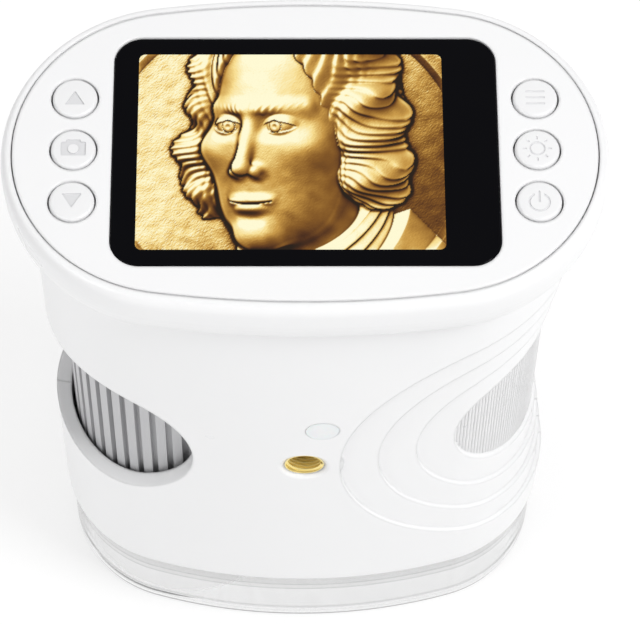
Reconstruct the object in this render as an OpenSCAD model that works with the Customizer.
// Handheld digital microscope with a built-in screen, six keys, a ribbed focus wheel
// in the left side, a stepped thumb rest on the right and a clear viewing foot.
// Millimetres. Origin: centre of the foot on the table. +Z up, -Y front, +X right.

/* [Body] */
// Width of the body at its lower edge
body_w = 88.1; // [80:0.1:96]
// Depth of the body at its lower edge
body_d = 51.6; // [48:0.1:56]
// Height of the front and rear shells
body_h = 93.9; // [86:0.1:110]
// How far the body flares out on each side from its lower edge to the head
body_flare = 0.6; // [0:0.1:1.2]
// Wall of the front and rear shells
wall = 2.6; // [2.2:0.1:3]
// Chamfer along the lower edge of the shells
edge_chamfer = 0.5; // [0.2:0.1:1]

/* [Head] */
// How far the head stands out over the body at each end
overhang_x = 4.75; // [4.4:0.05:6]
// How far the head stands out over the body at the front and the back
overhang_y = 3.95; // [3.6:0.05:5]
// Width of the rim around the cover
rim_w = 1.75; // [1.4:0.05:2.2]
// Width of the rim's rounded shoulder
shoulder_w = 1.2; // [0.6:0.1:1.4]
// Height of the rim's rounded shoulder
shoulder_h = 2.4; // [1.4:0.1:3]
// Depth at which the head's side starts to draw in towards the body
belly_z = 4; // [3.5:0.1:5]
// How far the head's underside reaches in under the edge of the body
neck_in = 1.2; // [0.8:0.1:1.6]
// Gap between the rim and the cover
seam_gap = 0.2; // [0.15:0.05:0.4]
// Thickness of the cover
cover_t = 2; // [1.8:0.1:2.4]
// Wall of the head
head_wall = 2.2; // [1.8:0.1:2.6]
// Width of the shelf inside the rim that the cover lies on
shelf_w = 1.2; // [0.8:0.1:1.4]
// Floor of the head
head_floor_t = 2; // [1.6:0.1:2.4]
// Width of the strap slot in the left end
strap_slot_w = 3.8; // [3:0.1:4.5]
// Height of the strap slot
strap_slot_h = 2.4; // [2:0.1:2.8]
// Depth of the strap slot
strap_slot_d = 2.6; // [2.4:0.1:2.8]
// Radius of the bar across the strap slot
strap_bar_r = 0.7; // [0.5:0.05:0.8]

/* [Screen] */
// Distance from each end of the head to the cover glass
screen_side = 18; // [17.4:0.1:20]
// Distance from the front and the back of the head to the cover glass
screen_front = 8.35; // [8:0.05:10]
// Corner radius of the cover glass
glass_r = 4.6; // [3:0.1:6]
// Thickness of the cover glass
glass_t = 1.2; // [0.8:0.1:1.4]
// How far the glass lies below the cover's face
glass_sink = 0.1; // [0.05:0.05:0.3]
// Gap around the glass
glass_gap = 0.15; // [0.1:0.05:0.3]
// Width of the seat that carries the glass
glass_seat = 1.6; // [1:0.1:2.4]
// How far the display is set in from the glass at each end
lcd_in_x = 0.7; // [0.3:0.1:1.5]
// How far the display is set in from the glass at the front and the back
lcd_in_y = 0.1; // [0:0.1:0.6]
// Thickness of the display
lcd_t = 2.4; // [2:0.1:2.6]
// Width of the foam gasket over the display
gasket_w = 2; // [1.7:0.1:2.6]
// Thickness of the foam gasket
gasket_t = 0.5; // [0.3:0.1:0.6]
// Wall of the bracket around the display
bracket_lip = 1; // [0.8:0.1:1.2]
// Floor of the bracket
bracket_t = 1.2; // [1:0.1:1.4]
// Width of the bracket round its screw posts
bracket_ear = 0.6; // [0.5:0.1:0.8]
// Radius of the screw posts under the cover
post_r = 1.5; // [1.4:0.1:1.6]
// Width of the flat cable of the display
flex_w = 16; // [10:1:18]
// Thickness of the flat cables
flex_t = 0.3; // [0.2:0.05:0.4]
// Distance of the display's cable in front of the middle
flex_off = 12; // [10:0.5:14]

/* [Buttons] */
// Place of the button columns between the glass (0) and the rim (1)
button_place = 0.345; // [0.2:0.005:0.5]
// Width of the strip of cover left beside a button's hole
button_strip = 1; // [0.7:0.1:1.3]
// Distance between two buttons of a column
button_pitch = 9.7; // [9.2:0.1:10]
// Diameter of a button cap
button_d = 7.2; // [6.6:0.1:7.4]
// Gap around a button cap
button_gap = 0.28; // [0.2:0.02:0.34]
// How far a cap stands above the cover
button_proud = 0.35; // [0.1:0.05:0.6]
// Rounding of a cap's edge
button_edge = 0.35; // [0.2:0.05:0.5]
// Travel of a button
button_travel = 0.4; // [0.2:0.05:0.45]
// Thickness of a button's flange
flange_t = 0.8; // [0.6:0.1:0.9]
// Width of a button's flange beyond the hole
flange_lip = 0.3; // [0.2:0.05:0.4]
// Radius of a button's stem
stem_r = 1.3; // [1:0.1:1.6]
// Length of a button's stem
stem_len = 0.6; // [0.4:0.1:0.7]
// Gap left between a pressed key's stem and its switch
stem_spare = 0.2; // [0.1:0.05:0.3]
// Side of a key switch
switch_w = 4.6; // [4:0.1:5]
// Height of a key switch
switch_h = 1.6; // [1.4:0.1:1.7]
// Radius of a switch's plunger
plunger_r = 1.2; // [1:0.1:1.4]
// Height of a switch's plunger over its body
plunger_h = 0.5; // [0.3:0.1:0.6]
// Radius of the posts that hold the key boards down
key_post_r = 0.9; // [0.7:0.1:1]
// Width of a key board
key_board_w = 8.6; // [7:0.1:8.8]
// Length of a key board beyond its outer buttons
key_board_end = 3; // [2.6:0.1:3.2]

/* [Boards] */
// Gap between the tallest component and the display's bracket
component_gap = 0.3; // [0.3:0.05:1]
// Thickness of the circuit boards
board_t = 1.4; // [1:0.1:1.6]
// Thickness of the key boards
key_board_t = 1.2; // [0.8:0.1:1.2]
// Distance of the main board's ends from the ends of the head
board_in = 9.8; // [9:0.1:12]
// Distance of the main board's front edge from the front of the head
board_front_in = 11.75; // [10.5:0.05:13]
// Distance of the main board's rear edge from the back of the head
board_rear_in = 9.75; // [9:0.05:11]
// Gap between the main board and the head's wall
board_gap = 2.9; // [2.6:0.1:3.2]
// Height of the standoffs under the main board
standoff_h = 0.5; // [0.4:0.1:0.8]
// Radius of the standoffs
standoff_r = 2.2; // [2:0.1:2.3]
// Distance of the board screws from the ends of the board
board_screw_in = 4; // [3:0.5:6]
// Distance of the main board's screws from the middle, fore and aft
board_screw_y = 11; // [9:0.5:12]
// Side of the processor
processor_w = 12; // [9:0.5:14]
// Thickness of the processor
processor_t = 1.2; // [0.9:0.1:1.4]
// Distance of the processor from the middle
processor_x = 8; // [6:0.5:10]
// Length of the memory
memory_w = 8; // [6:0.5:10]
// Width of the memory
memory_d = 6; // [5:0.5:8]
// Thickness of the memory
memory_t = 1; // [0.8:0.1:1.2]
// Distance of the memory from the middle
memory_x = 12; // [10:0.5:14]
// Room beside the flexes in the opening of the head's floor
cable_gap = 1.7; // [1:0.1:2.5]
// Depth of the cable opening in the head's floor
cable_d = 26; // [20:1:27]
// Distance of the charging socket from the middle
usb_x = 12; // [9:0.5:16]
// Width of the charging socket
usb_w = 8.94; // [8.9:0.02:9.1]
// Height of the charging socket
usb_h = 3.2; // [3.1:0.02:3.3]
// Wall of the charging socket
usb_wall = 0.3; // [0.25:0.05:0.35]
// Gap around the charging socket
usb_gap = 0.35; // [0.25:0.05:0.5]
// Width of the tongue in the charging socket
tongue_w = 6.7; // [6.6:0.1:6.8]
// Thickness of the tongue
tongue_t = 0.7; // [0.6:0.05:0.75]
// Distance of the card reader from the middle
card_x = 12; // [10:0.5:16]
// Width of the card reader
reader_w = 14; // [13:0.5:15]
// How far the card reader reaches over the board
reader_over = 10; // [9:0.5:12]
// Wall of the card reader behind the card
reader_back = 3; // [1:0.5:4]
// Height of the card reader
reader_h = 1.9; // [1.7:0.1:2]
// Width of the slot in the card reader
card_w = 11.2; // [11.1:0.1:11.4]
// Height of the slot in the card reader
card_h = 1; // [0.9:0.1:1.1]
// Gap around the card in the head's wall
card_gap = 0.4; // [0.3:0.05:0.5]

/* [Focus drive] */
// Gap between the focus wheel and the shells
wheel_gap = 0.4; // [0.35:0.05:0.6]
// Number of ribs on the focus wheel
rib_count = 45; // [36:1:50]
// Depth of the grooves between the ribs
rib_depth = 1.1; // [0.7:0.1:1.3]
// Width of the grooves between the ribs
rib_gap = 1.1; // [0.8:0.05:1.6]
// Wall of the focus wheel under its ribs
wheel_wall = 1.7; // [1.5:0.1:1.9]
// Length of the focus wheel
wheel_len = 46; // [42:0.5:48]
// Wall of the cam sleeve inside the wheel
sleeve_wall = 1.8; // [1.5:0.1:2]
// Height of the spigots that the wheel turns on
spigot_h = 3.3; // [2.5:0.1:4]
// Rise of the lens in one turn of the wheel
cam_lead = 24; // [20:1:26]
// Turn of the wheel each way from the middle, in degrees
wheel_turn = 120; // [90:5:120]
// Radius of the follower pins
pin_r = 1.2; // [1:0.1:1.4]
// Wall of the guide tube
guide_wall = 1.3; // [1:0.1:1.4]
// Length of the lens barrel
barrel_len = 24; // [20:1:26]
// Wall of the lens barrel
barrel_wall = 1.9; // [1.6:0.1:2.2]
// Thickness of a lens
lens_t = 2.6; // [2.2:0.1:3]
// Bulge of a lens face
lens_bulge = 0.7; // [0.4:0.1:0.9]
// Width of the shelf that carries a lens
lens_shelf = 2; // [1.5:0.1:2.5]
// Thickness of the lens retainer
retainer_t = 0.9; // [0.7:0.1:1.2]
// Thickness of the chassis plates
chassis_t = 3; // [2.5:0.1:3.5]
// Width of the rails that hold the chassis plates
rail_w = 1.8; // [1.4:0.1:2.2]
// Height of the rails
rail_h = 2; // [1.5:0.1:2.5]
// Running clearance of a shaft or slide, on the radius
run_gap = 0.07; // [0.05:0.01:0.09]
// Clearance between bodies that pass without touching
free_gap = 0.3; // [0.25:0.05:0.35]
// Clearance between parts that are fitted together
fit_gap = 0.1; // [0.05:0.01:0.15]

/* [Camera] */
// Side of the image sensor
sensor_w = 9; // [8:0.5:10]
// Thickness of the image sensor
sensor_t = 1.5; // [1.2:0.1:1.8]
// Side of the infrared filter
filter_w = 12; // [11.5:0.1:12.5]
// Thickness of the infrared filter
filter_t = 0.6; // [0.5:0.1:0.8]
// Radius of the light opening under the filter
eye_r = 5.5; // [5:0.1:5.7]
// Distance of the sensor board's screws from the optical axis, each way
sensor_post = 9.5; // [9:0.1:10]
// Radius of the sensor board's posts
sensor_post_r = 1.8; // [1.6:0.1:2]
// Margin of the sensor board beyond its screws
sensor_margin = 2; // [2:0.1:2.5]
// Width of the sensor's flat cable
sensor_flex_w = 8; // [6:0.5:10]
// Distance of the sensor's flat cable from the optical axis
sensor_flex_off = 4; // [2:0.5:6]

/* [Side features] */
// How far the wheel window, the thumb rest and the tripod bush lie below the middle
side_drop = 0.5; // [0:0.1:1]
// Radius of the wheel window
window_r = 18; // [16:0.1:18.4]
// Distance of the window's centre from the left end of the body
window_in = 6.9; // [6:0.1:8]
// Radius of the innermost step of the thumb rest
dish_r = 17.5; // [15:0.1:18]
// Growth of the radius from one step to the next
dish_grow = 6.6; // [6:0.1:6.8]
// Number of steps of the thumb rest
dish_steps = 4; // [3:1:4]
// Depth of one step
dish_step = 0.8; // [0.4:0.05:0.85]
// Distance of the thumb rest's centre from the right end of the body
dish_in = 0.6; // [0:0.1:1.5]
// Radius of the status light
status_r = 2.8; // [2:0.1:3.2]
// Gap between the status window and the thumb rest
status_gap = 2.08; // [1.5:0.02:3]
// Height of the status light above the tripod bush
status_up = 13.5; // [13:0.5:15]
// Width and thickness of the collar behind the status light
status_collar = 0.8; // [0.6:0.1:1]

/* [Tripod bush] */
// Radius of the threaded bore
bush_bore_r = 3.175; // [2.9:0.025:3.3]
// Outer radius of the bush
bush_r = 5.2; // [4.8:0.1:5.6]
// Depth of the bush behind the face of the body
bush_sink = 0.6; // [0.4:0.1:1.5]
// Length of the bush
bush_len = 8; // [7:0.5:9]
// Radius of the chamfered mouth in the shell
mouth_r = 4.55; // [4:0.05:4.8]
// Wall of the boss around the bush
boss_wall = 1.6; // [1.2:0.1:2]

/* [Foot] */
// Height of the clear foot
skirt_h = 17.6; // [16:0.1:19]
// Wall of the clear foot
skirt_wall = 2.2; // [1.8:0.1:2.6]
// How far the clear foot is set in from the body
skirt_inset = 0.9; // [0.6:0.1:1.2]
// Thickness of the clear floor
skirt_floor_t = 1.5; // [1.2:0.1:2]
// Rounding of the toe of the clear foot
skirt_toe = 0.6; // [0.3:0.1:0.8]
// Width of the flange that is screwed to the base plate
skirt_flange_w = 6; // [5:0.1:6.4]
// Thickness of the flange
skirt_flange_t = 2; // [1.6:0.1:2.4]
// Rim left around the viewing hole at the end of the clear floor
view_rim = 3.05; // [2.9:0.05:4.5]
// Thickness of the base plate
base_t = 2.4; // [2.2:0.1:3]
// Rim left around the light opening at the end of the base plate
aperture_rim = 5.55; // [5.4:0.05:7]
// Depth of the diffuser's seat below the base plate's face
diffuser_sink = 1.6; // [1.4:0.1:1.8]
// Width of the diffuser's seat
diffuser_seat = 1.1; // [0.8:0.1:1.2]
// Thickness of the diffuser
diffuser_t = 1.2; // [1:0.1:1.5]
// Width of the diffuser inside the light opening
diffuser_w = 5.7; // [4:0.1:7]
// Wall of the collar that carries the lamp board
collar_wall = 1; // [0.8:0.1:1.2]
// Height of the collar over the base plate
collar_h = 4; // [3.5:0.1:5]
// Thickness of the lamp board
led_board_t = 1.2; // [1:0.1:1.6]
// Width of the lamp board inside the light opening
led_board_w = 4.7; // [4:0.1:6]
// Number of lamps
led_count = 8; // [6:2:12]
// Side of a lamp
led_w = 2.8; // [2:0.1:3.2]
// Height of a lamp
led_h = 1.2; // [0.8:0.1:1.4]

/* [Battery] */
// Thickness of the cell
cell_t = 8; // [6:0.5:9]
// Distance of the cell's edges from the front and the back of the body
cell_side = 8.8; // [8.4:0.1:12]
// Height of the cell
cell_h = 44; // [36:1:46]
// Gap between the focus wheel and the cell
cell_gap = 10.3; // [8:0.1:12]
// Height of the tray that holds the cell
tray_h = 9; // [6:0.5:12]
// Wall of the tray
tray_wall = 1.2; // [1:0.1:1.5]

/* [Fasteners] */
// Shank radius of the small screws
small_r = 0.75; // [0.6:0.05:0.8]
// Shank radius of the case screws
case_r = 1; // [0.9:0.05:1.1]
// Grip of a small screw beyond what it clamps
small_grip = 2.2; // [1.6:0.1:2.4]
// Grip of a case screw beyond what it clamps
case_grip = 6; // [4:0.5:7]
// Radius of the screw bosses in the shells
boss_r = 2.8; // [2.6:0.1:3]
// Length of the corner bosses
boss_len = 10; // [8:0.5:11]
// Wall between a corner boss's screw and the shell's inner face
boss_in = 1.4; // [1.2:0.1:1.6]
// Bearing of the corner screws from the centres of the round ends, in degrees
corner_a = 62; // [55:1:66]
// Distance of the cross screws to the right of the middle
cross_x = 4; // [3:0.5:5]
// Distance of the lower cross screw above the base plate
cross_low = 10; // [9:0.5:12]
// Distance of the upper cross screw below the head
cross_high = 8; // [7:0.5:9]
// Length of the cross screws in the front shell
cross_bite = 7; // [5:0.5:9]
// Depth of the cross screws' heads behind the rear face
cross_sink = 13.8; // [12:0.1:15]
// Distance of the foot's middle screws from the front and the back of the body
foot_screw_in = 6.2; // [6:0.1:6.6]
// Distance of the foot's middle screws to the right of the middle
foot_screw_x = 3; // [2:0.5:5]
// Length of the foot's screws in the base plate
foot_bite = 4; // [3:0.5:5]
// Distance of the foot's end screws from the end of the body
foot_screw_rim = 5.9; // [5.7:0.1:6.4]
// Bearing of the foot's end screws from the centre of the round end, in degrees
foot_screw_a = 31; // [20:1:40]

/* [Hidden] */
$fn = 96;

white = [0.95, 0.95, 0.95];
soft_grey = [0.66, 0.66, 0.68];
dark = [0.12, 0.12, 0.13];
board_green = [0.1, 0.35, 0.2];
amber = [0.8, 0.5, 0.15];
clear = [0.85, 0.9, 0.95, 0.4];
steel = [0.75, 0.76, 0.78];
brass = [0.85, 0.65, 0.25];
eps = 0.01;
far = 200;

// Outlines are [half width, half depth, x of an end's centre, y of a bow's centre]:
// two round ends joined by two wide bows that run into them without a corner. The
// triangle of the two centres has the sides of t, a right-angled triangle in whole
// numbers, so that the joins stay exact.
function outline(w, d, t) = let (span = t[0] + t[1] - t[2],
    m = round(1000 * (w - d) / 2 / span) / 1000)
    [d / 2 + m * span, d / 2, m * t[0], m * t[1]];
function grow(o, d) = [o[0] + d, o[1] + d, o[2], o[3]];
function end_x(o) = o[2];
function end_r(o) = o[0] - o[2];
function bow_y(o) = o[3];
function bow_r(o) = o[1] + o[3];

head_w = body_w + 2 * overhang_x;
head_d = body_d + 2 * overhang_y;
body_line = outline(body_w, body_d, [7, 24, 25]);
head_line = outline(head_w, head_d, [28, 195, 197]);
cover_line = grow(head_line, -rim_w - seam_gap);
skirt_line = grow(body_line, -skirt_inset);

// Head, from the inside out: the room over the main board is set by the socket
glass_w = head_w - 2 * screen_side;
glass_h = head_d - 2 * screen_front;
lcd_w = glass_w - 2 * lcd_in_x;
lcd_h = glass_h - 2 * lcd_in_y;
head_h = head_floor_t + standoff_h + board_t + usb_h + component_gap
    + bracket_t + lcd_t + gasket_t + cover_t;
base_z = skirt_h;
body_top = base_z + body_h;
total_h = body_top + head_h;
cover_z = total_h - cover_t;
floor_z = body_top + head_floor_t;
board_z = floor_z + standoff_h;
board_top = board_z + board_t;
gasket_z = cover_z - gasket_t;
lcd_z = gasket_z - lcd_t;
bracket_z = lcd_z - bracket_t;
usb_z = board_top + usb_h / 2;
card_z = board_top + reader_h / 2;
reader_y1 = head_d / 2 - head_wall - board_gap;
neck = overhang_y + neck_in;
board_w = head_w - 2 * board_in;
board_front = head_d / 2 - board_front_in;
board_rear = head_d / 2 - board_rear_in;
board_screw_x = board_w / 2 - board_screw_in;

// Buttons
hole_r = button_d / 2 + button_gap;
flange_r = hole_r + flange_lip;
button_in = glass_w / 2 + hole_r + button_strip;
button_out = end_x(head_line)
    + sqrt((end_r(cover_line) - hole_r - button_strip)^2 - button_pitch^2);
button_x = button_in + button_place * (button_out - button_in);
flange_z = cover_z - free_gap - flange_t;
stem_z = flange_z - stem_len;
switch_top = stem_z - button_travel - stem_spare;
key_board_top = switch_top - switch_h;
key_post_x = sqrt((flange_r + key_post_r + free_gap)^2 - (button_pitch / 2)^2);

// Body and focus drive
side_z = base_z + body_h / 2 - side_drop;
axis_x = -end_x(body_line);
cable_w = 2 * (sensor_flex_w / 2 - axis_x - sensor_flex_off + cable_gap);
wheel_r = end_r(body_line) - wall - wheel_gap;
wheel_bore_r = wheel_r - rib_depth - wheel_wall;
guide_r = wheel_bore_r - sleeve_wall - free_gap - fit_gap;
barrel_r = guide_r - guide_wall - run_gap;
bore_r = barrel_r - barrel_wall;
wheel_z0 = side_z - wheel_len / 2;
wheel_z1 = side_z + wheel_len / 2;
lower_z = wheel_z0 - free_gap - chassis_t;
lower_top = lower_z + chassis_t;
upper_z = wheel_z1 + free_gap;
sleeve_z0 = wheel_z0 + spigot_h;
sleeve_z1 = wheel_z1 - spigot_h;
lens_travel = cam_lead * wheel_turn / 360;
barrel_z0 = side_z - barrel_len / 2;
barrel_z1 = side_z + barrel_len / 2;
pin_foot = bore_r + barrel_wall / 3;
sensor_z = upper_z + chassis_t;
sensor_board_z = sensor_z + filter_t + sensor_t;

// Side features
function flare_at(z) = body_flare * (z - base_z) / body_h;
inset_max = dish_steps * dish_step;
dish_x = body_w / 2 - dish_in;
dish_out_r = dish_r + (dish_steps - 1) * dish_grow;
plain_x = dish_x - dish_out_r - 1;
window_x = body_w / 2 - window_in;
bush_face_y = -body_d / 2 - flare_at(side_z);
bush_y0 = bush_face_y + bush_sink;
bush_y1 = bush_y0 + bush_len;
status_z = side_z + status_up;
status_x = dish_x - sqrt(dish_out_r^2 - status_up^2)
    - status_gap - status_r - status_collar;

// Foot and battery
aperture_r = end_r(body_line) - aperture_rim;
view_r = end_r(skirt_line) - view_rim;
seat_r = aperture_r + diffuser_seat;
diffuser_z = base_z + base_t - diffuser_sink;
led_z = base_z + base_t + collar_h;
cell_w = body_d - 2 * cell_side;
cell_x = axis_x + wheel_r + cell_gap + cell_t / 2;

// Screw places
head_r = 2 * small_r;
case_head_r = 2 * case_r;
bracket_screw_x = usb_x + usb_w / 2 + head_r + free_gap;
bracket_screw_pts = [for (x = [-1, 1]) for (y = [-1, 1])
    [x * bracket_screw_x, y * (lcd_h / 2 + free_gap + fit_gap + post_r)]];
board_screw_pts = [for (x = [-1, 1]) for (y = [-1, 1])
    [x * board_screw_x, y * board_screw_y]];
corner_r = end_r(body_line) - wall - boss_in;
corner_pts = [for (x = [-1, 1]) for (y = [-1, 1])
    [x * (end_x(body_line) + corner_r * cos(corner_a)), y * corner_r * sin(corner_a)]];
cross_pts = [[cross_x, base_z + cross_low], [cross_x, body_top - cross_high]];
cross_seat_y = body_d / 2 - cross_sink;
foot_r = end_r(body_line) - foot_screw_rim;
foot_pts = [for (y = [-1, 1]) for (p = [[foot_screw_x, body_d / 2 - foot_screw_in],
    [end_x(body_line) + foot_r * cos(foot_screw_a), foot_r * sin(foot_screw_a)]])
    [p[0], y * p[1]]];
sensor_pts = [for (x = [-1, 1]) for (y = [-1, 1])
    [axis_x + x * sensor_post, y * sensor_post]];

// ---------------------------------------------------------------- shared shapes

// A flat oval outline
module oval(o) {
    r = bow_r(o);
    seam_x = round(100 * r * end_x(o) / norm([end_x(o), bow_y(o)])) / 100;
    for (m = [0, 1]) mirror([m, 0]) intersection() {
        translate([end_x(o), 0]) circle(end_r(o));
        translate([seam_x, -far / 2]) square([far, far]);
    }
    intersection() {
        translate([0, r - o[1]]) circle(r, $fn = 360);
        translate([0, o[1] - r]) circle(r, $fn = 360);
        square([2 * seam_x, far], center = true);
    }
}

module oval_plate(o, z0, z1) {
    translate([0, 0, z0]) linear_extrude(z1 - z0) oval(o);
}

// Sweeps a profile along the front half of an outline: x is the distance outwards
// from the outline, y is the height.
module sweep_front(o) {
    c = end_x(o);
    y0 = bow_y(o);
    intersection() {
        translate([0, y0, 0])
            rotate_extrude($fn = 360) translate([bow_r(o), 0]) children();
        sector([[0, y0], [2 * c, -y0], [-2 * c, -y0]]);
    }
    for (m = [0, 1]) mirror([m, 0, 0]) intersection() {
        translate([c, 0, 0]) rotate_extrude() translate([end_r(o), 0]) children();
        sector([[c, 0], [2 * c, -y0], [far, -y0], [far, 0]]);
    }
}

module sector(corners) {
    translate([0, 0, -1]) linear_extrude(total_h + 2) polygon(corners);
}

module sweep_half(o, side) {
    mirror([0, side > 0 ? 1 : 0, 0]) sweep_front(o) children();
}

module sweep_ring(o) {
    for (side = [-1, 1]) sweep_half(o, side) children();
}

// A cylinder along Y, from y0 to y1
module y_rod(r, x, z, y0, y1) {
    translate([x, y1, z]) rotate([90, 0, 0]) cylinder(r = r, h = y1 - y0);
}

// A cylinder at a point of the plan, from z0 to z1
module z_rod(r, p, z0, z1) {
    translate([p[0], p[1], z0]) cylinder(r = r, h = z1 - z0);
}

module tube(r_out, r_in, z0, z1) {
    translate([axis_x, 0, z0]) difference() {
        cylinder(r = r_out, h = z1 - z0);
        translate([0, 0, -eps]) cylinder(r = r_in, h = z1 - z0 + 2 * eps);
    }
}

module rounded_rect(w, h, r) {
    square([w - 2 * r, h], center = true);
    square([w, h - 2 * r], center = true);
    for (x = [-1, 1]) for (y = [-1, 1])
        translate([x * (w / 2 - r), y * (h / 2 - r)]) circle(r);
}

// A block centred on a point of the plan, from z0 to z1
module slab(w, d, x, y, z0, z1) {
    translate([x - w / 2, y - d / 2, z0]) cube([w, d, z1 - z0]);
}

// A screw with its head above z and its shank below
module screw_down(r, len, p, z) {
    translate([p[0], p[1], z - len]) cylinder(r = r, h = len, $fn = 24);
    translate([p[0], p[1], z]) cylinder(r = 2 * r, h = 1.2 * r, $fn = 24);
}

module screw_up(r, len, p, z) {
    mirror([0, 0, 1]) screw_down(r, len, p, -z);
}

// ---------------------------------------------------------------- head

// Section of the head's side: thin rim, rounded shoulder, a side that draws in
// towards the neck, and the seat for the cover
module head_section() {
    drop = head_h - belly_z;
    lap = 0.6;
    floor_in = neck * (1 - sqrt(1 - ((drop - head_floor_t) / drop)^2));
    polygon(concat(
        [[-rim_w, total_h]],
        [for (a = [90 : -15 : 0])
            [-shoulder_w * (1 - cos(a)), total_h - shoulder_h * (1 - sin(a))]],
        [for (a = [0 : 9 : 90])
            [-neck * (1 - cos(a)), total_h - belly_z - drop * sin(a)]],
        [[-neck - lap, body_top], [-neck - lap, floor_z],
            [-floor_in - head_wall, floor_z], [-head_wall, total_h - belly_z],
            [-rim_w - shelf_w, cover_z - shelf_w], [-rim_w - shelf_w, cover_z],
            [-rim_w, cover_z]]));
}

module head_shell() {
    color(white) difference() {
        union() {
            sweep_ring(head_line) head_section();
            difference() {
                oval_plate(grow(head_line, -neck), body_top, floor_z);
                translate([0, 0, body_top - eps]) linear_extrude(head_floor_t + 2 * eps)
                    rounded_rect(cable_w, cable_d, 4);
            }
            for (p = board_screw_pts) z_rod(standoff_r, p, floor_z - eps, board_z);
        }
        for (p = corner_pts)
            z_rod(case_r + 2 * fit_gap, p, body_top - eps, floor_z + eps);
        for (p = board_screw_pts)
            z_rod(small_r + fit_gap / 2, p, body_top - eps, board_z + eps);
        usb_mouth();
        slab(card_w + 2 * card_gap, 8, -card_x, head_d / 2 - 2,
            card_z - card_h / 2 - card_gap, card_z + card_h / 2 + card_gap);
        strap_slot();
    }
}

// Slot for a wrist strap in the left end of the head
module strap_slot() {
    slot_y = 0;
    slot_z = total_h - 6;
    difference() {
        slab(strap_slot_d + 1, strap_slot_w, -head_w / 2 + strap_slot_d / 2 - 0.5,
            slot_y, slot_z - strap_slot_h / 2, slot_z + strap_slot_h / 2);
        z_rod(strap_bar_r, [-head_w / 2 + strap_bar_r + 0.4, slot_y],
            slot_z - strap_slot_h, slot_z + strap_slot_h);
    }
}

module top_cover() {
    color(white) difference() {
        union() {
            oval_plate(cover_line, cover_z, total_h);
            for (p = bracket_screw_pts) z_rod(post_r, p, lcd_z, cover_z + eps);
            for (x = [-1, 1]) for (y = [-1, 1]) for (s = [-1, 1])
                z_rod(key_post_r, [x * button_x + s * key_post_x, y * button_pitch / 2],
                    key_board_top, cover_z + eps);
        }
        for (p = bracket_screw_pts)
            z_rod(small_r + fit_gap / 2, p, lcd_z - eps, lcd_z + small_grip + 0.6);
        translate([0, 0, total_h - glass_t - glass_sink]) linear_extrude(glass_t + 1)
            rounded_rect(glass_w + 2 * glass_gap, glass_h + 2 * glass_gap,
                glass_r + glass_gap);
        translate([0, 0, cover_z - 1]) linear_extrude(cover_t + 2)
            rounded_rect(glass_w - 2 * glass_seat, glass_h - 2 * glass_seat,
                glass_r - glass_seat);
        for (x = [-1, 1]) for (y = [-1 : 1])
            z_rod(hole_r, [x * button_x, y * button_pitch], cover_z - 1, total_h + 1);
    }
}

module screen_glass() {
    color(dark) translate([0, 0, total_h - glass_t - glass_sink])
        linear_extrude(glass_t) rounded_rect(glass_w, glass_h, glass_r);
}

module screen_gasket() {
    color(dark) difference() {
        slab(lcd_w, lcd_h, 0, 0, gasket_z, cover_z);
        slab(lcd_w - 2 * gasket_w, lcd_h - 2 * gasket_w, 0, 0, gasket_z - 1, cover_z + 1);
    }
}

module lcd_panel() {
    color(steel) slab(lcd_w, lcd_h, 0, 0, lcd_z, gasket_z);
}

module lcd_bracket() {
    rim = 2 * (bracket_lip + fit_gap);
    color(dark) difference() {
        union() {
            intersection() {
                slab(lcd_w + rim, lcd_h + rim, 0, 0, bracket_z, cover_z);
                oval_plate(grow(cover_line, seam_gap - shelf_w - 2 * free_gap),
                    bracket_z, cover_z);
            }
            for (p = bracket_screw_pts)
                z_rod(post_r + fit_gap + bracket_ear, p, bracket_z, lcd_z);
        }
        slab(lcd_w + 2 * fit_gap, lcd_h + 2 * fit_gap, 0, 0, lcd_z, cover_z + 1);
        for (p = bracket_screw_pts) {
            z_rod(small_r + 2 * fit_gap, p, bracket_z - eps, lcd_z + eps);
            z_rod(post_r + fit_gap, p, lcd_z, cover_z + 1);
        }
        slab(flex_w + 2, flex_t + 1.3, 0, -flex_off, bracket_z - eps, lcd_z + 1);
    }
}

module lcd_flex() {
    color(amber) slab(flex_w, flex_t, 0, -flex_off, board_top, lcd_z);
}

module bracket_screws() {
    color(steel) for (p = bracket_screw_pts)
        screw_up(small_r, bracket_t + small_grip, p, bracket_z);
}

// A key cap: round pad, retaining flange under the cover, and stem
module button_cap(column, row) {
    r = button_d / 2;
    top = total_h + button_proud;
    color(white) translate([column * button_x, row * button_pitch, 0]) {
        translate([0, 0, stem_z]) cylinder(r = stem_r, h = stem_len + eps);
        translate([0, 0, flange_z]) cylinder(r = flange_r, h = flange_t);
        rotate_extrude() polygon([[0, flange_z], [r, flange_z], [r, top - button_edge],
            [r - 0.3 * button_edge, top - 0.3 * button_edge],
            [r - button_edge, top], [0, top]]);
    }
}

module button_up() { button_cap(-1, 1); }
module button_camera() { button_cap(-1, 0); }
module button_down() { button_cap(-1, -1); }
module button_menu() { button_cap(1, 1); }
module button_light() { button_cap(1, 0); }
module button_power() { button_cap(1, -1); }

module key_board(column) {
    color(board_green) slab(key_board_w, 2 * (button_pitch + key_board_end),
        column * button_x, 0, key_board_top - key_board_t, key_board_top);
}

module left_key_board() { key_board(-1); }
module right_key_board() { key_board(1); }

module key_switches() {
    color(steel) for (x = [-1, 1]) for (y = [-1 : 1]) {
        slab(switch_w, switch_w, x * button_x, y * button_pitch,
            key_board_top, switch_top - plunger_h);
        z_rod(plunger_r, [x * button_x, y * button_pitch], key_board_top, switch_top);
    }
}

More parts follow.
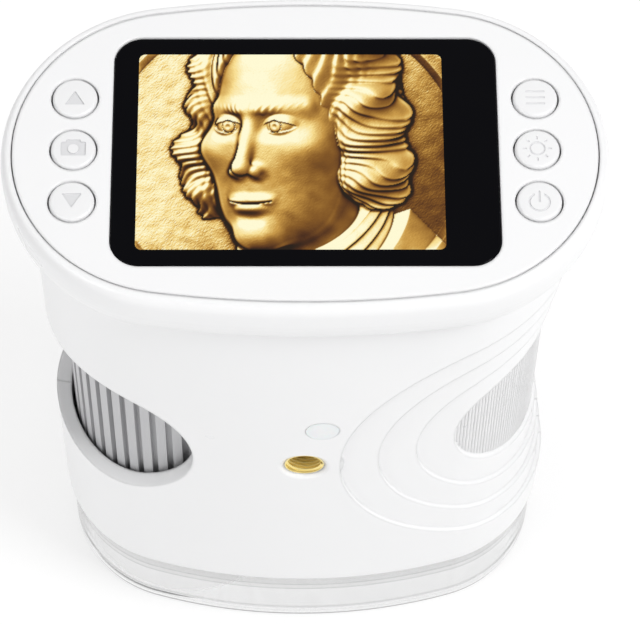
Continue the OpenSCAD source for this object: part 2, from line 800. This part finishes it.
module main_board() {
    color(board_green) difference() {
        intersection() {
            oval_plate(grow(head_line, -head_wall - board_gap), board_z, board_top);
            translate([-board_w / 2, -board_front, board_z])
                cube([board_w, board_front + board_rear, board_t]);
        }
        for (p = board_screw_pts)
            z_rod(small_r + 2 * fit_gap, p, board_z - eps, board_top + eps);
        for (p = corner_pts)
            z_rod(case_head_r + free_gap, p, board_z - eps, board_top + eps);
    }
}

module processor_chip() {
    color(dark) slab(processor_w, processor_w, processor_x, 2,
        board_top, board_top + processor_t);
}

module memory_chip() {
    color(dark) slab(memory_w, memory_d, -memory_x, 2, board_top, board_top + memory_t);
}

module board_screws() {
    color(steel) for (p = board_screw_pts)
        screw_down(small_r, board_t + standoff_h + head_floor_t - 2 * fit_gap, p,
            board_top);
}

// A round-ended bar along Y at the charging socket's place
module usb_bar(gap, y0, y1) {
    h = usb_h + 2 * gap;
    translate([usb_x, y1, usb_z]) rotate([90, 0, 0]) linear_extrude(y1 - y0) {
        square([usb_w - usb_h, h], center = true);
        for (s = [-1, 1]) translate([s * (usb_w - usb_h) / 2, 0]) circle(h / 2);
    }
}

module usb_mouth() {
    usb_bar(usb_gap, head_d / 2 - 6, head_d / 2 + 1);
}

module usb_port() {
    y1 = head_d / 2 - 1.4;
    color(steel) {
        difference() {
            usb_bar(0, board_rear - 2, y1);
            usb_bar(-usb_wall, board_rear + 1, y1 + 1);
        }
        translate([usb_x - tongue_w / 2, board_rear, usb_z - tongue_t / 2])
            cube([tongue_w, y1 - board_rear - 1, tongue_t]);
    }
}

module card_reader() {
    y0 = board_rear - reader_over;
    color(steel) difference() {
        translate([-card_x - reader_w / 2, y0, board_top])
            cube([reader_w, reader_y1 - y0, reader_h]);
        translate([-card_x - card_w / 2, y0 + reader_back, card_z - card_h / 2])
            cube([card_w, reader_y1 - y0, card_h]);
    }
}

module head_screws() {
    color(steel) for (p = corner_pts)
        screw_down(case_r, head_floor_t + case_grip, p, floor_z);
}

// ---------------------------------------------------------------- body shells

// Section of the shell wall, moved in by d where the thumb rest steps down
module wall_section(d) {
    polygon([[-d - edge_chamfer, base_z], [-d, base_z + edge_chamfer],
        [body_flare - d, body_top], [body_flare - wall - d, body_top],
        [-wall - d, base_z]]);
}

// The disc of one step of the thumb rest, as a cutter across the body
module dish_disc(k) {
    y_rod(dish_r + k * dish_grow, dish_x, side_z, -body_d, body_d);
}

module shell_skin(side) {
    difference() {
        sweep_half(body_line, side) wall_section(0);
        dish_disc(dish_steps - 1);
        y_rod(window_r, -window_x, side_z, -body_d, body_d);
    }
    for (k = [0 : dish_steps - 1]) intersection() {
        sweep_half(body_line, side) wall_section(dish_step * (dish_steps - k));
        difference() {
            intersection() {
                dish_disc(k);
                translate([plain_x, -body_d, base_z])
                    cube([body_w, 2 * body_d, body_h]);
            }
            if (k > 0) dish_disc(k - 1);
        }
    }
}

// Rails inside the wall, under the lower and over the upper chassis plate, as far as
// the thumb rest leaves the wall plain
module rails(side) {
    intersection() {
        sweep_half(body_line, side) for (z = [lower_z - rail_h, sensor_z])
            translate([-wall - rail_w, z]) square([rail_w + wall / 2, rail_h]);
        translate([-body_w, -body_d, 0]) cube([body_w + plain_x, 2 * body_d, total_h]);
    }
}

module shell_bosses(side) {
    intersection() {
        union() {
            for (p = corner_pts) if (p[1] * side > 0)
                z_rod(boss_r, p, body_top - boss_len, body_top);
            for (p = cross_pts) y_rod(boss_r, p[0], p[1],
                side > 0 ? 0 : -body_d / 2 + wall / 2,
                side > 0 ? body_d / 2 - wall / 2 : 0);
        }
        oval_plate(grow(body_line, -wall / 2), base_z, body_top);
    }
}

module front_shell() {
    throat_r = bush_bore_r + 2 * fit_gap;
    color(white) difference() {
        union() {
            shell_skin(-1);
            rails(-1);
            shell_bosses(-1);
            y_rod(bush_r + boss_wall, 0, side_z, bush_y0, bush_y1);
        }
        y_rod(bush_r, 0, side_z, bush_y0, bush_y1 + 1);
        y_rod(throat_r, 0, side_z, -body_d, bush_y0 + eps);
        translate([0, bush_face_y, side_z]) rotate([-90, 0, 0])
            cylinder(r1 = mouth_r, r2 = throat_r, h = bush_sink);
        y_rod(mouth_r, 0, side_z, -body_d, bush_face_y + eps);
        y_rod(status_r + fit_gap / 2, status_x, status_z, -body_d, -body_d / 4);
        for (p = corner_pts) z_rod(case_r, p, body_top - case_grip - 1, body_top + 1);
        for (p = cross_pts) y_rod(case_r, p[0], p[1], -cross_bite - 1, eps);
    }
}

module rear_shell() {
    color(white) difference() {
        union() {
            shell_skin(1);
            rails(1);
            shell_bosses(1);
        }
        for (p = corner_pts) z_rod(case_r, p, body_top - case_grip - 1, body_top + 1);
        for (p = cross_pts) {
            y_rod(case_r + 2 * fit_gap, p[0], p[1], -eps, body_d);
            y_rod(case_head_r + 4 * fit_gap, p[0], p[1], cross_seat_y, body_d);
        }
    }
}

module shell_screws() {
    color(steel) for (p = cross_pts) {
        y_rod(case_r, p[0], p[1], -cross_bite, cross_seat_y);
        y_rod(case_head_r, p[0], p[1], cross_seat_y, cross_seat_y + 1.4 * case_r);
    }
}

module tripod_bush() {
    color(brass) difference() {
        y_rod(bush_r, 0, side_z, bush_y0, bush_y1);
        y_rod(bush_bore_r, 0, side_z, bush_y0 - 1, bush_y1 + 1);
    }
}

module status_window() {
    y_in = -body_d / 2 + wall - flare_at(status_z) + free_gap;
    color(white) {
        intersection() {
            y_rod(status_r, status_x, status_z, -body_d, y_in);
            oval_plate(grow(body_line, flare_at(status_z)), base_z, body_top);
        }
        y_rod(status_r + status_collar, status_x, status_z, y_in, y_in + status_collar);
    }
}

// ---------------------------------------------------------------- focus drive

// Plan of a chassis plate: full on the wheel's side, up to where the thumb rest starts
module chassis_plan() {
    intersection() {
        oval(grow(body_line, -wall - free_gap));
        translate([-far, -far / 2]) square([far + plain_x, far]);
    }
}

module lower_chassis() {
    tail_x = cell_x + cell_t / 2 + 10;
    color(dark) difference() {
        union() {
            translate([0, 0, lower_z]) linear_extrude(chassis_t) {
                chassis_plan();
                intersection() {
                    oval(grow(body_line, -wall - inset_max - free_gap));
                    translate([-far, -far / 2]) square([far + tail_x, far]);
                }
            }
            tube(wheel_bore_r - run_gap, guide_r, lower_z, wheel_z0 + spigot_h - free_gap);
        }
        translate([axis_x, 0, lower_z - 1]) cylinder(r = guide_r, h = chassis_t + 2);
    }
}

module upper_chassis() {
    color(dark) difference() {
        union() {
            translate([0, 0, upper_z]) linear_extrude(chassis_t) chassis_plan();
            tube(wheel_bore_r - run_gap, guide_r, wheel_z1 - spigot_h + free_gap,
                upper_z + eps);
            for (p = sensor_pts) z_rod(sensor_post_r, p, sensor_z - eps, sensor_board_z);
        }
        translate([axis_x, 0, upper_z - 1]) cylinder(r = eye_r, h = chassis_t + 2);
        for (p = sensor_pts)
            z_rod(small_r + fit_gap / 2, p, upper_z + 1, sensor_board_z + eps);
    }
}

module focus_wheel() {
    color(soft_grey) translate([axis_x, 0, wheel_z0]) linear_extrude(wheel_len)
        difference() {
            circle(wheel_r, $fn = 180);
            circle(wheel_bore_r);
            for (i = [0 : rib_count - 1]) rotate(360 * i / rib_count)
                translate([wheel_r - rib_depth, -rib_gap / 2])
                    square([rib_depth + 1, rib_gap]);
        }
}

// Sleeve inside the wheel: two helical slots that carry the follower pins
module cam_sleeve() {
    slot_w = 2 * (pin_r + free_gap + fit_gap / 2);
    half = 180 * slot_w / cam_lead;
    slot_h = 2 * lens_travel + slot_w + 2 * free_gap;
    lead_turn = 360 * slot_h / cam_lead;
    r0 = guide_r - 1.5;
    r1 = wheel_bore_r + 5;
    color(dark) difference() {
        tube(wheel_bore_r, wheel_bore_r - sleeve_wall, sleeve_z0, sleeve_z1);
        for (s = [90, 270]) translate([axis_x, 0, side_z - slot_h / 2])
            rotate([0, 0, s + lead_turn / 2])
                linear_extrude(height = slot_h, twist = lead_turn, slices = 16)
                    polygon([for (p = [[r0, -half], [r1, -half], [r1 + 2, 0],
                        [r1, half], [r0, half]]) p[0] * [cos(p[1]), sin(p[1])]]);
    }
}

module guide_tube() {
    slot_r = pin_r + free_gap;
    slot_half = lens_travel + 2 * free_gap;
    color(steel) difference() {
        tube(guide_r, guide_r - guide_wall, lower_z, upper_z);
        translate([axis_x, 0, side_z]) {
            for (e = [-1, 1]) y_rod(slot_r, 0, e * slot_half, -guide_r - 1, guide_r + 1);
            slab(2 * slot_r, 2 * guide_r + 2, 0, 0, -slot_half, slot_half);
        }
    }
}

module lens_barrel() {
    color(dark) difference() {
        tube(barrel_r, bore_r - lens_shelf, barrel_z0, barrel_z1);
        z_rod(bore_r, [axis_x, 0], barrel_z0 - eps, barrel_z0 + retainer_t + lens_t);
        z_rod(bore_r, [axis_x, 0], barrel_z1 - lens_t, barrel_z1 + eps);
        y_rod(pin_r, axis_x, side_z, pin_foot, guide_r);
        y_rod(pin_r, axis_x, side_z, -guide_r, -pin_foot);
    }
}

module follower_pins() {
    pin_end = wheel_bore_r - free_gap;
    color(steel) {
        y_rod(pin_r, axis_x, side_z, pin_foot, pin_end);
        y_rod(pin_r, axis_x, side_z, -pin_end, -pin_foot);
    }
}

// A lens disc with two bulged faces
module lens(z0) {
    steps = 6;
    face = [for (i = [0 : steps]) [bore_r * i / steps, lens_bulge * (i / steps)^2]];
    back = [for (i = [steps : -1 : 0]) [face[i][0], lens_t - face[i][1]]];
    color(clear) translate([axis_x, 0, z0]) rotate_extrude()
        polygon(concat(face, back));
}

module front_lens() { lens(barrel_z0 + retainer_t); }
module rear_lens() { lens(barrel_z1 - lens_t); }

module lens_retainer() {
    color(dark) tube(bore_r, bore_r - lens_shelf, barrel_z0, barrel_z0 + retainer_t);
}

module sensor_board() {
    side = 2 * (sensor_post + sensor_margin);
    color(board_green) difference() {
        slab(side, side, axis_x, 0, sensor_board_z, sensor_board_z + board_t);
        for (p = sensor_pts) z_rod(small_r + 2 * fit_gap, p, sensor_board_z - eps,
            sensor_board_z + board_t + eps);
    }
}

module image_sensor() {
    color(dark) slab(sensor_w, sensor_w, axis_x, 0, sensor_z + filter_t, sensor_board_z);
}

module ir_filter() {
    color(clear) slab(filter_w, filter_w, axis_x, 0, sensor_z, sensor_z + filter_t);
}

module sensor_screws() {
    color(steel) for (p = sensor_pts)
        screw_down(small_r, board_t + small_grip, p, sensor_board_z + board_t);
}

module sensor_flex() {
    color(amber) slab(sensor_flex_w, flex_t, axis_x + sensor_flex_off, 0,
        sensor_board_z + board_t, board_z);
}

// ---------------------------------------------------------------- power

module battery_holder() {
    rim = 2 * (tray_wall + fit_gap);
    color(dark) difference() {
        slab(cell_t + rim, cell_w + rim, cell_x, 0, lower_top, lower_top + tray_h);
        slab(cell_t + 2 * fit_gap, cell_w + 2 * fit_gap, cell_x, 0,
            lower_top + tray_wall, lower_top + tray_h + 1);
    }
}

module battery_cell() {
    color(steel) translate([cell_x, 0, lower_top + tray_wall]) linear_extrude(cell_h)
        rounded_rect(cell_t, cell_w, 0.3 * cell_t);
}

// ---------------------------------------------------------------- foot

module base_plate() {
    post = base_z + base_t + collar_h - free_gap;
    color(white) difference() {
        union() {
            oval_plate(grow(body_line, -wall - fit_gap / 2), base_z, base_z + base_t);
            tube(seat_r + collar_wall, seat_r, base_z + 1, led_z);
            for (p = foot_pts) z_rod(case_head_r + 0.4, p, base_z, post);
        }
        z_rod(aperture_r, [axis_x, 0], base_z - 1, led_z);
        z_rod(seat_r, [axis_x, 0], diffuser_z, led_z + 1);
        for (p = foot_pts) z_rod(case_r, p, base_z - 1, post - 1);
    }
}

module diffuser_ring() {
    color(clear) tube(seat_r - fit_gap, aperture_r - diffuser_w,
        diffuser_z, diffuser_z + diffuser_t);
}

module led_board() {
    color(white) tube(seat_r + collar_wall - fit_gap, aperture_r - led_board_w,
        led_z, led_z + led_board_t);
}

module leds() {
    ring_r = aperture_r - led_board_w / 2;
    color([1, 0.95, 0.75]) for (i = [0 : led_count - 1])
        translate([axis_x, 0, 0]) rotate([0, 0, 360 * i / led_count])
            slab(led_w, led_w, ring_r, 0, led_z - led_h, led_z);
}

// Section of the clear foot: rounded toe, wall, and the flange screwed to the base
module skirt_section() {
    foot = skirt_wall + skirt_toe;
    polygon([[-skirt_toe, 0], [-skirt_toe / 4, skirt_toe / 2], [0, skirt_toe * 1.6],
        [0, skirt_h], [-skirt_wall - skirt_flange_w, skirt_h],
        [-skirt_wall - skirt_flange_w, skirt_h - skirt_flange_t],
        [-skirt_wall, skirt_h - skirt_flange_t], [-skirt_wall, skirt_floor_t],
        [-foot, skirt_floor_t], [-foot, 0]]);
}

module base_skirt() {
    color(clear) difference() {
        union() {
            sweep_ring(skirt_line) skirt_section();
            oval_plate(grow(skirt_line, -skirt_wall - 0.2), 0, skirt_floor_t);
        }
        z_rod(view_r, [axis_x, 0], -1, skirt_h + 1);
        for (p = foot_pts) z_rod(case_r + 2 * fit_gap, p,
            skirt_h - skirt_flange_t - 1, skirt_h + 1);
    }
}

module base_screws() {
    color(steel) for (p = foot_pts)
        screw_up(case_r, skirt_flange_t + foot_bite, p, skirt_h - skirt_flange_t);
}

// ---------------------------------------------------------------- assembly

top_cover();
screen_glass();
screen_gasket();
lcd_panel();
lcd_bracket();
lcd_flex();
bracket_screws();
button_up();
button_camera();
button_down();
button_menu();
button_light();
button_power();
left_key_board();
right_key_board();
key_switches();
main_board();
processor_chip();
memory_chip();
board_screws();
usb_port();
card_reader();
head_shell();
head_screws();
front_shell();
rear_shell();
shell_screws();
tripod_bush();
status_window();
lower_chassis();
upper_chassis();
focus_wheel();
cam_sleeve();
guide_tube();
lens_barrel();
follower_pins();
front_lens();
rear_lens();
lens_retainer();
sensor_board();
image_sensor();
ir_filter();
sensor_flex();
sensor_screws();
battery_cell();
battery_holder();
base_plate();
diffuser_ring();
led_board();
leds();
base_skirt();
base_screws();
